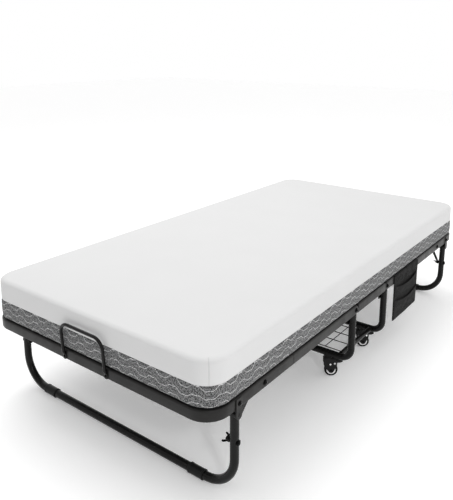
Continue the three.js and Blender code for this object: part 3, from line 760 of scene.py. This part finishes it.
def outline_with_notch(length, half, slot, way):
    """A round-ended bar whose far end is open towards way, so that it can leave its bolt."""
    way = Vector(way).normalized()
    normal = Vector((-way.y, way.x))
    centre = Vector((length, 0))
    turn = math.atan2(way.y, way.x)
    lip = math.asin(min(0.95, slot / half))
    mouth = centre + way * half * math.cos(lip)
    slot_turns = [turn - math.pi / 2 - math.pi * i / 8 for i in range(9)]
    notch = [(centre.x + slot * math.cos(b), centre.y + slot * math.sin(b)) for b in slot_turns]
    notch = [tuple(mouth - normal * slot)] + notch + [tuple(mouth + normal * slot)]
    points = arc(0, 0, half, 90, 270, 12)
    steps = 40
    for k in range(steps + 1):
        a = math.pi * k / steps - math.pi / 2
        gap = (a - turn + math.pi) % (2 * math.pi) - math.pi
        if abs(gap) >= lip:
            points.append((length + half * math.cos(a), half * math.sin(a)))
        else:
            points += notch
            notch = []
    return points


def wing_nut(end, s, side, t):
    """A nut with two rounded wings, inside the brace."""
    bm = bmesh.new()
    where = (s * LEG_X, t * 0.4431, LEG_BOLT_Z)
    nut = [(0.0038, 0), (0.008, 0), (0.0078, 0.0012), (0.0062, 0.0062), (0.0038, 0.0066)]
    lathe(bm, nut, where, Y * -t, 24)
    wing = [(4.6, 0.5), (4.6, 5.0), (6.4, 9), (8.4, 12.4)] + arc(11.2, 13.2, 3.0, 170, -20, 8)
    wing += [(13.6, 9.6), (10.4, 4.6), (7.4, 0.5)]
    for turn in (0.6, 0.6 + math.pi):
        way = Vector((math.cos(turn) * s, 0, -math.sin(turn)))
        lift = way.cross(Y * -t).normalized()
        plate(bm, in_mm(wing), Vector(where) - lift * 0.0013, way, Y * -t, 0.0026)
    name = f"{end}_wing_nut_{side}"
    finished(f"{end}_thumb_nut_{side}", bm, BLACK_STEEL, name, [name], 0.0005)


# -------- casters
# Each piece is made about the stem with the pedal towards local +X, then turned to its heading.
CHEEK_FACE = 0.013


def caster_yoke(bm):
    """Two cheeks, the hood over them and the swivel's cap."""
    cheek = [(-12, 70), (-15, 60), (-14.5, 48), (-8, 34)] + arc(TRAIL / MM, 25, 10.5, 200, 345, 10)
    cheek += [(30, 34), (35, 44), (36, 55), (32, 64), (25, 70)]
    for y in (-0.0105, CHEEK_FACE):
        plate(bm, in_mm(cheek), (0, y, 0), X, Z, 0.0025)
    hood = [(-12, -13), (25, -13), (31, -9), (31, 9), (25, 13), (-12, 13), (-16, 9), (-16, -9)]
    plate(bm, in_mm(hood), (0, 0, 0.0675), X, Y, 0.0045)
    cap = [(0, 0.07), (0.015, 0.07), (0.015, 0.0745), (0.0135, 0.0772), (0, 0.0772)]
    lathe(bm, cap, (0, 0, 0), Z, 32)


def caster_rivets(bm):
    """The stem, and two rivets in each cheek."""
    lathe(bm, [(0, 0.0765), (0.005, 0.0765), (0.005, 0.0895), (0, 0.0895)], (0, 0, 0), Z, 20)
    rivet = [(0, 0), (0.0037, 0), (0.0034, 0.001), (0.002, 0.0018), (0, 0.0021)]
    for y in (-1, 1):
        for x, z in ((0.0265, 0.0535), (0.0105, 0.0495)):
            lathe(bm, rivet, (x, y * CHEEK_FACE, z), Y * y, 18)


def on_both_sides(bm, profile, reach, sides):
    """The same turned part on both sides of the caster, outwards from reach."""
    for y in (-1, 1):
        lathe(bm, profile, (TRAIL, y * reach, WHEEL), Y * y, sides)


def caster_axle(bm):
    """The two ends of the axle."""
    axle_end = [(0, 0), (0.0048, 0), (0.0044, 0.001), (0.003, 0.0017), (0, 0.002)]
    on_both_sides(bm, axle_end, CHEEK_FACE, 20)


def caster_tyre(bm):
    """The tyre, crowned and round-shouldered."""
    half = [(16.4, -8.4), (20.0, -8.8), (22.5, -8.0), (24.2, -6.0), (25.0, -3.4)]
    tyre = half + [(r, -a) for r, a in half[::-1]]
    lathe(bm, in_mm(tyre), (TRAIL, 0, WHEEL), Y, 48, closed=True)


def caster_rim(bm):
    """The pale ring on both sides of the wheel."""
    ring = [(10.2, 0), (10.2, 8.8), (11.2, 9.5), (15.6, 9.3), (16.6, 8.4), (16.6, 0)]
    on_both_sides(bm, in_mm(ring), 0, 48)


def caster_hub(bm):
    """The dark hub inside the rim."""
    hub = [(4.2, 0), (4.2, 8.5), (8.6, 8.5), (10.3, 7.5), (10.3, 0)]
    on_both_sides(bm, in_mm(hub), 0, 32)


def caster_pedal(bm):
    """The brake lever with three grip ribs."""
    lever = arc(20, 60, 4.5, 90, 270, 10)
    lever += [(34, 54.8), (46, 55.6), (54, 59), (56, 62.4), (54, 66), (46, 67), (36, 64.5)]
    plate(bm, in_mm(lever), (0, 0.0098, 0), X, Z, 0.0196)
    for k in range(3):
        left, right = 0.04 + k * 0.0035, 0.0414 + k * 0.0035
        rib = [(left, 0.0654), (right, 0.0654), (right, 0.0668), (left, 0.0668)]
        plate(bm, rib, (0, 0.0085, 0), X, Z, 0.017)


# Builder, look, body, whether the piece takes the body's CAD node, bevel.
CASTER_PIECES = (
    (caster_yoke, PLASTIC, "caster_fork", True, 0.0011),
    (caster_rivets, CHROME, "caster_fork", False, 0),
    (caster_axle, BLACK_STEEL, "caster_fork", False, 0),
    (caster_tyre, TYRE_RUBBER, "caster_wheel", True, 0),
    (caster_rim, RIM_PLASTIC, "caster_wheel", False, 0),
    (caster_hub, PLASTIC, "caster_wheel", False, 0),
    (caster_pedal, PLASTIC, "caster_brake", True, 0.0009),
)


def caster(end, s, side, t):
    """One caster, turned to its heading under its socket."""
    place = Matrix.Translation((s * HINGE_X, t * CASTER_Y, 0)) @ Matrix.Rotation(CASTER_HEADING, 4, "Z")
    for build, look, part, takes_node, bevel in CASTER_PIECES:
        bm = bmesh.new()
        build(bm)
        bmesh.ops.transform(bm, matrix=place, verts=bm.verts)
        name, body = f"{build.__name__}_{end}_{side}", f"{part}_{end}_{side}"
        finished(name, bm, look, body, [body] if takes_node else (), bevel)


# -------- mattress
def corner_samples(cy, start):
    """Stations around one rounded corner of the plan: a quarter turn from the angle start."""
    samples = []
    for k in range(17):
        a = start + math.pi / 2 * k / 16
        across, along = math.cos(a), math.sin(a)
        point = (CORNER_X + FOAM_CORNER * across, cy + FOAM_CORNER * along)
        samples.append((point, (across, along)))
    return samples


def mattress_outline():
    """Half the plan outline, near middle to far middle, as (point, outward normal, distance along)."""
    step = (CORNER_X - FOLD_CELLS_END) / 40
    xs = [k * FOLD_CELL for k in range(FOLD_CELLS)] + [FOLD_CELLS_END + step * k for k in range(40)]
    samples = [((x, -FOAM_Y), (0, -1)) for x in xs]
    samples += corner_samples(-CORNER_Y, -math.pi / 2)
    samples += [((FOAM_X, -CORNER_Y + 2 * CORNER_Y * k / 48), (1, 0)) for k in range(1, 48)]
    samples += corner_samples(CORNER_Y, 0.0)
    samples += [((x, FOAM_Y), (0, 1)) for x in xs[::-1]]
    placed, gone, last = [], 0.0, None
    for point, normal in samples:
        point = Vector((*point, 0))
        gone += (point - last).length if last else 0.0
        placed.append((point, Vector((*normal, 0)), gone))
        last = point
    return placed


def layer_mesh(profile):
    """Half a mattress layer: side rings from (inset, height) pairs, and gridded faces above and below."""
    bm = bmesh.new()
    uv = bm.loops.layers.uv.new("UVMap")
    outline = mattress_outline()
    rows = []
    for inset, height in profile:
        rows.append([bm.verts.new(p - n * inset + Z * height) for p, n, _ in outline])
    for (low, (_, z0)), (high, (_, z1)) in zip(zip(rows, profile), zip(rows[1:], profile[1:])):
        for j in range(len(outline) - 1):
            face = bm.faces.new((low[j], low[j + 1], high[j + 1], high[j]))
            ends = ((j, z0), (j + 1, z0), (j + 1, z1), (j, z1))
            for loop, (k, z) in zip(face.loops, ends):
                loop[uv].uv = (outline[k][2], z)
    bm.faces.new(rows[0][::-1])
    bm.faces.new(rows[-1])
    bm.faces.new([r[0] for r in rows] + [r[-1] for r in rows[::-1]])
    for face in cut_grid(bm):
        for loop in face.loops:
            loop[uv].uv = (loop.vert.co.x, loop.vert.co.y + 10)
    return bm


def cut_grid(bm):
    """Cuts the layer's big faces into cells, finest at the fold, and gives the level ones."""
    flat = [f for f in bm.faces if len(f.verts) > 4]
    cuts = [(X, FOLD_CELL * k) for k in range(1, FOLD_CELLS)]
    cuts += [(X, FOLD_CELLS_END + 0.036 * k) for k in range(20)]
    cuts += [(Y, -0.44 + 0.04 * k) for k in range(23)]
    for axis, where in cuts:
        geom = {e for f in flat for e in f.edges} | {v for f in flat for v in f.verts} | set(flat)
        bmesh.ops.bisect_plane(bm, geom=list(geom), plane_co=axis * where, plane_no=axis)
        for f in bm.faces:
            f.normal_update()
        flat = [f for f in bm.faces if abs(f.normal.z) > 0.999]
    return flat


def edge_distance(p):
    """How far a point in plan lies inside the mattress outline."""
    dx, dy = max(abs(p.x) - CORNER_X, 0), max(abs(p.y) - CORNER_Y, 0)
    if dx or dy:
        return FOAM_CORNER - math.hypot(dx, dy)
    return min(FOAM_X - abs(p.x), FOAM_Y - abs(p.y))


def soften(v):
    """Crown and slight unevenness of foam under its cover, the same on both sides of every cut."""
    p = v.co.copy()
    inside = max(0.0, edge_distance(p))
    broad = noise.noise(p * 3.1 + Vector((3, 7, 1)))
    fine = noise.noise(p * 11.0 + Vector((1, 2, 9)))
    if p.z > FOAM_TOP - 0.012:
        rise = min(1.0, inside / 0.18)
        crown = CROWN * rise * rise * (3 - 2 * rise)
        v.co.z += crown + (0.0013 * broad + 0.0005 * fine) * min(1.0, inside / 0.03)
    elif p.z < FOAM_TOP - 0.004 and inside < 0.02:
        out = Vector((p.x, p.y, 0)).normalized() if abs(p.x) > 0.9 and abs(p.y) > 0.42 else None
        way = out or (Y * math.copysign(1, p.y) if abs(p.y) > 0.45 else X * math.copysign(1, p.x))
        v.co += way * (0.0009 * broad + 0.0004 * fine)


def mirrored(bm, s):
    """The other half, with its distance along the band counted the other way."""
    if s > 0:
        return bm
    uv = bm.loops.layers.uv.active
    for v in bm.verts:
        v.co.x = -v.co.x
    for f in bm.faces:
        for loop in f.loops:
            loop[uv].uv.x = -loop[uv].uv.x
    return bm


def cut_at(bm, x, keep_outer):
    """Keeps one side of a plane across the bed and closes the cut."""
    geom = list(bm.verts) + list(bm.edges) + list(bm.faces)
    sides = {"clear_inner": keep_outer, "clear_outer": not keep_outer}
    result = bmesh.ops.bisect_plane(bm, geom=geom, plane_co=X * x, plane_no=X, **sides)
    rim = [e for e in result["geom_cut"] if isinstance(e, bmesh.types.BMEdge)]
    bmesh.ops.contextual_create(bm, geom=rim)
    return bm


# The grey base's side, as (inset, height) pairs from the bottom up.
BASE_PROFILE = [
    (0.013, 0.3082), (0.0064, 0.309), (0.0026, 0.3114), (0.0008, 0.3158), (-0.0004, 0.333),
    (-0.0006, 0.342), (-0.0004, 0.356), (0.0, 0.365), (0.0008, 0.3685), (0.0028, 0.3704), (0.006, 0.371),
]


def cover_profile():
    """The white cover's side: tucked at the seam, near upright, then a soft round shoulder."""
    profile = [(0.006, 0.3711), (0.0028, 0.3716), (0.0008, 0.3736)]
    profile += [(0.0004, 0.382), (0.0006, 0.4), (0.001, 0.422)]
    reach_in, reach_up = 0.018, 0.012
    shoulder = FOAM_TOP - 0.004
    for k in range(13):
        a = math.pi / 2 * k / 12
        inset = 0.0014 + reach_in * (1 - math.cos(a))
        profile.append((inset, shoulder - reach_up + reach_up * math.sin(a)))
    return profile


def mattress(end, s):
    """Half the mattress: the grey base in one piece, and the white cover cut across near the hinge into a
    deck part and a centre part.
    """
    bm = mirrored(layer_mesh(BASE_PROFILE), s)
    base = finished(f"mattress_base_{end}", bm, GREY_KNIT, None, (), 0.0, 60)
    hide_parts(f"mattress_{end}_base", "mattress_centre_base")
    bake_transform(base)
    whole = layer_mesh(cover_profile())
    for v in whole.verts:
        soften(v)
    for part, outer, body in (("deck", True, f"{end}_deck"), ("centre", False, "centre")):
        bm = mirrored(cut_at(whole.copy(), COVER_SPLIT_X, outer), s)
        nodes = [f"mattress_{end}_top"] if outer else ["mattress_centre_top"]
        cover = finished(f"mattress_cover_{end}_{part}", bm, WHITE_KNIT, body, nodes, 0.0, 60)
        if outer:
            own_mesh(cover)
        else:
            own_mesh(cover)
    whole.free()


# -------- bag
def grid_sheet(bm, across, up, shape):
    """A sheet of across by up cells whose points come from shape(u, v), with UVs in metres."""
    uv = bm.loops.layers.uv.verify()
    rows = [[bm.verts.new(shape(i / across, j / up)) for i in range(across + 1)] for j in range(up + 1)]
    for j in range(up):
        for i in range(across):
            face = bm.faces.new((rows[j][i], rows[j][i + 1], rows[j + 1][i + 1], rows[j + 1][i]))
            for loop, (a, b) in zip(face.loops, ((i, j), (i + 1, j), (i + 1, j + 1), (i, j + 1))):
                loop[uv].uv = (0.249 * a / across, 0.25 * b / up)


def tape(bm, points, width, thickness):
    """A flat binding tape run along points, facing the bed's side."""
    behind, ahead = points[:1] + points[:-1], points[1:] + points[-1:]
    path = [(p, (b - a).normalized()) for a, p, b in zip(behind, points, ahead)]
    ring = round_box_ring(width / 2, thickness / 2, thickness * 0.45, 2)
    sweep(bm, path, lambda i: ring, Y)


def panel_point(u, v):
    """The back panel: down from under the mattress over the rail, hanging nearly flat."""
    along = v * (BAG_FLAP + BAG_DROP)
    wave = 0.001 * noise.noise(Vector((u * 3.0, v * 4.0, 5.0)))
    if along < BAG_FLAP - 0.002:
        return Vector((BAG_X[0] + BAG_WIDTH * u, BAG_BACK + BAG_FLAP - along, BAG_TOP))
    down = max(0.0, along - BAG_FLAP)
    pull = 0.004 * (down / BAG_DROP) ** 2
    x = BAG_X[0] + BAG_WIDTH * u + pull * (0.5 - u)
    return Vector((x, BAG_BACK - 0.0002 + wave * min(1.0, down / 0.03), BAG_TOP - down))


def pocket_point(bottom, top, sag, bulge, lean):
    """A pocket front: sewn at the sides and bottom, slack along its top edge."""
    x0, x1 = BAG_X[0] + 0.003, BAG_X[1] - 0.003

    def point(u, v):
        arch = math.sin(math.pi * u) ** 0.8
        rim = top - sag * arch - lean * u
        z = bottom + (rim - bottom) * v
        open_share = v ** 1.4 * arch
        ripple = 0.0009 * noise.noise(Vector((u * 6.0, v * 3.0, bottom * 40)))
        depth = bulge * open_share + ripple * arch
        return Vector((x0 + (x1 - x0) * u, BAG_BACK - 0.0022 - max(depth, 0.0), z))

    return point


def bag_piece(name, bm, look, nodes=(), thickness=0.0, sharp=35):
    """A piece of the organizer, riding on the head deck and thickened when a thickness is given."""
    piece = finished(name, bm, look, "head_deck", nodes, 0.0, sharp)
    if thickness:
        solid = piece.modifiers.new("cloth_thickness", "SOLIDIFY")
        solid.thickness = thickness
        solid.offset = 0.0
    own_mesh(piece)
    return piece


def bag_panel():
    """The back panel with binding tape along both sides and the foot."""
    bm = bmesh.new()
    grid_sheet(bm, 40, 48, panel_point)
    panel = bag_piece("bag_back", bm, BAG_CLOTH, ["bag_panel"], 0.0012, 80)
    bm = bmesh.new()
    steps, proud = 24, Vector((0, -0.0006, 0))
    left = [panel_point(0, k / steps) + proud for k in range(6, steps + 1)]
    foot = [panel_point(k / steps, 1) + proud for k in range(1, steps + 1)]
    right = [panel_point(1, k / steps) + proud for k in range(steps - 1, 5, -1)]
    for points in (left, foot, right):
        tape(bm, points, 0.007, 0.0022)
    binding = bag_piece("bag_binding_tape", bm, BINDING)


def bag_pocket(name, bottom, top, sag, bulge, lean):
    """A slack pocket front with a hem along its rim."""
    shape = pocket_point(bottom, top, sag, bulge, lean)
    bm = bmesh.new()
    grid_sheet(bm, 40, 20, shape)
    front = bag_piece(f"bag_front_{name}", bm, BAG_CLOTH, [f"bag_pocket_{name}"], 0.001, 80)
    bm = bmesh.new()
    tape(bm, [shape(k / 32, 1) for k in range(33)], 0.0026, 0.002)
    hem = bag_piece(f"bag_hem_{name}", bm, BINDING)


# -------- studio
def floor():
    """A pale floor, a hair below the feet."""
    bm = bmesh.new()
    rows = [[bm.verts.new((x, y, -0.0002)) for x in (-14, -3, 3, 14)] for y in (-14, -3, 3, 14)]
    for low, high in zip(rows, rows[1:]):
        for j in range(3):
            bm.faces.new((low[j], low[j + 1], high[j + 1], high[j]))
    ground = finished("studio_floor", bm, (floor_paint("studio_paper"), None), None)


def area_light(name, location, target, size, power):
    """A rectangular lamp aimed at a target."""
    data = bpy.data.lights.new(name, "AREA")
    data.shape = "RECTANGLE"
    data.size, data.size_y = size
    data.energy = power
    lamp = bpy.data.objects.new(name, data)
    lamp.location = location
    lamp.rotation_euler = (Vector(target) - Vector(location)).to_track_quat("-Z", "Y").to_euler()
    bpy.context.scene.collection.objects.link(lamp)


def world():
    """A white surround, dimmer towards the foot end."""
    made = bpy.data.worlds.new("studio_world")
    bpy.context.scene.world = made
    made.use_nodes = True
    nodes, links = made.node_tree.nodes, made.node_tree.links
    split, ramp = nodes.new("ShaderNodeSeparateXYZ"), nodes.new("ShaderNodeMapRange")
    links.new(nodes.new("ShaderNodeTexCoord").outputs["Generated"], split.inputs[0])
    links.new(split.outputs[0], ramp.inputs["Value"])
    for key, number in (("From Min", -1.0), ("From Max", 0.2), ("To Min", 0.5), ("To Max", 1.0)):
        ramp.inputs[key].default_value = number
    links.new(ramp.outputs["Result"], nodes["Background"].inputs["Strength"])
    nodes["Background"].inputs["Color"].default_value = (1, 1, 1, 1)


def camera():
    """The viewpoint of the photograph."""
    data = bpy.data.cameras.new("photo_camera")
    data.lens = 43.03
    data.sensor_width = 36
    data.shift_y = -0.15
    data.clip_end = 100
    eye = bpy.data.objects.new("photo_camera", data)
    yaw, pitch = math.radians(52.58), math.radians(12.43)
    ahead = Vector((math.sin(yaw) * math.cos(pitch), math.cos(yaw) * math.cos(pitch), -math.sin(pitch)))
    eye.location = (-1.9629, -1.2972, 1.2053)
    eye.rotation_euler = ahead.to_track_quat("-Z", "Y").to_euler()
    bpy.context.scene.collection.objects.link(eye)
    bpy.context.scene.camera = eye


# -------- the bed
END_BUILDERS = (deck_rail, centre_leg, hinge_bolts, crossbars, deck_wires, hoop, end_leg, mattress)
CORNER_BUILDERS = (leg_bracket, floor_sleeve, brace, wing_nut, caster)
for end_name, sign in ENDS:
    for build in END_BUILDERS:
        build(end_name, sign)
    for side_name, turn in SIDES:
        for build in CORNER_BUILDERS:
            build(end_name, sign, side_name, turn)
for side_name, turn in SIDES:
    centre_rail(side_name, turn)
shelf()
bag_panel()
bag_pocket("upper", 0.212, 0.262, 0.015, 0.007, 0.004)
bag_pocket("lower", 0.119, 0.204, 0.016, 0.006, 0.014)

floor()
world()
area_light("key_top", (0.2, 1.4, 3.6), (0, 0, 0.3), (3.2, 3.2), 63)
area_light("side_fill", (1.2, -3.6, 1.5), (0.2, 0, 0.3), (4.0, 2.0), 16)
area_light("glint", (-2.6, -3.0, 2.6), (-0.3, -0.3, 0.2), (0.3, 0.3), 22)
bpy.context.scene.view_settings.view_transform = "Standard"
camera()
